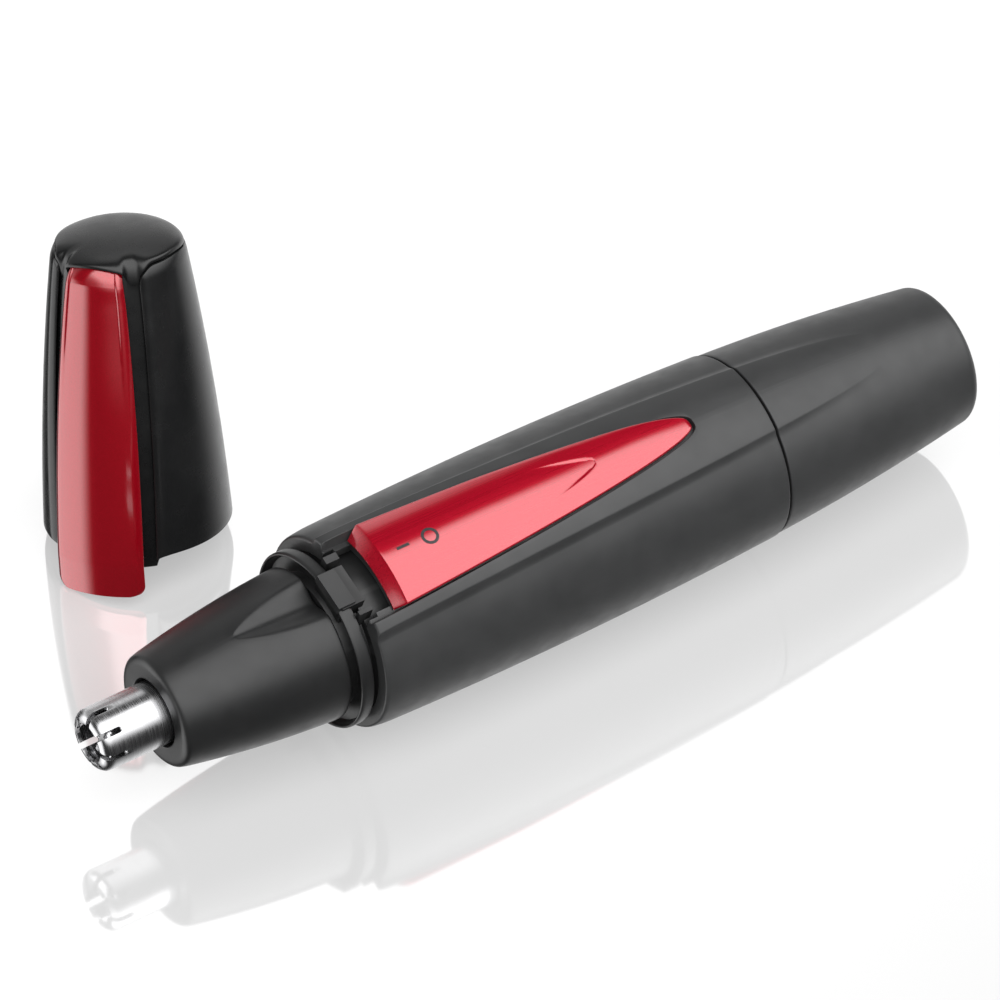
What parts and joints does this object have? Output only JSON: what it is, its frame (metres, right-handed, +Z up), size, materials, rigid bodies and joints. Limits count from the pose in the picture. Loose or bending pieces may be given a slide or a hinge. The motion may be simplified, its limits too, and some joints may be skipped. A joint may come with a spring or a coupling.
{
  "type": "nose hair trimmer",
  "caption": "Round battery nose hair trimmer lying on its side: slotted rotary cutter in a nose cone, slide switch, pull-off battery cover, with its hollow cap standing beside it.",
  "frame": {"origin": "on the floor, in the middle of the whole object's footprint", "axes": "+Z up, +X along the handle from the cutter to the flat rear end, -Y the side with the switch"},
  "size_m": [0.13, 0.0725, 0.0432],
  "materials": {
    "moulded_black": "fine satin moulded",
    "moulded_dark": "matt moulded",
    "red_lacquer": "metallic red lacquer",
    "polished_steel": "polished",
    "spring_steel": "drawn wire",
    "plated_brass": "bright",
    "moulded_white": "natural moulded",
    "rubber": "matt",
    "cell_sleeve": "printed shrink sleeve, plain"
  },
  "bodies": {
    "handle": {"front_housing": "moulded_black", "collar": "moulded_black", "neck_seal": "rubber", "chassis": "moulded_white", "motor_can": "polished_steel", "motor_endcap": "moulded_white", "motor_damper": "rubber", "motor_screw_1": "polished_steel", "motor_screw_2": "polished_steel", "motor_contact": "plated_brass", "contact_strip": "plated_brass", "detent_spring": "spring_steel", "front_contact": "plated_brass", "cover_seal": "rubber"},
    "head": {"nose_cone": "moulded_black", "cutter_tube": "polished_steel", "blade_bush": "moulded_white", "blade_retainer": "moulded_white"},
    "blade": {"cutter_blade": "polished_steel", "blade_shaft": "moulded_white", "blade_spring": "spring_steel"},
    "rotor": {"motor_shaft": "polished_steel", "drive_coupling": "moulded_white"},
    "switch": {"slide_switch": "red_lacquer", "switch_carrier": "moulded_dark", "switch_contact": "plated_brass"},
    "cover": {"rear_cover": "moulded_black", "battery_spring": "spring_steel", "spring_plate": "plated_brass"},
    "battery": {"battery_cell": "polished_steel", "battery_wrapper": "cell_sleeve"},
    "cap": {"cap_liner": "moulded_dark", "cap_shell": "moulded_black", "cap_strip": "red_lacquer"}
  },
  "joints": [
    {"name": "head_twist", "type": "hinge", "parent": "handle", "child": "head", "pos_m": [-0.033, -0.02278, 0.01349], "axis": [1, 0, 0], "range_deg": [0, 30]},
    {"name": "motor_spin", "type": "hinge", "parent": "handle", "child": "rotor", "pos_m": [-0.02, -0.02278, 0.01349], "axis": [1, 0, 0], "continuous": true},
    {"name": "blade_spin", "type": "hinge", "parent": "handle", "child": "blade", "pos_m": [-0.06, -0.02278, 0.01349], "axis": [1, 0, 0], "continuous": true},
    {"name": "switch_slide", "type": "slide", "parent": "handle", "child": "switch", "axis": [-1, 0, 0], "range_m": [0, 0.003]},
    {"name": "cover_slide", "type": "slide", "parent": "handle", "child": "cover", "axis": [1, 0, 0], "range_m": [0, 0.03]},
    {"name": "battery_slide", "type": "slide", "parent": "handle", "child": "battery", "axis": [1, 0, 0], "range_m": [0, 0.016]},
    {"name": "cap_lift", "type": "slide", "parent": "handle", "child": "cap", "axis": [0.0938, 0.2138, 0.9724], "range_m": [0, 0.05]}
  ],
  "couplings": [
    {"joint": "blade_spin", "follows": "motor_spin", "ratio": 1},
    {"joint": "battery_slide", "follows": "cover_slide", "ratio": 0.5}
  ]
}
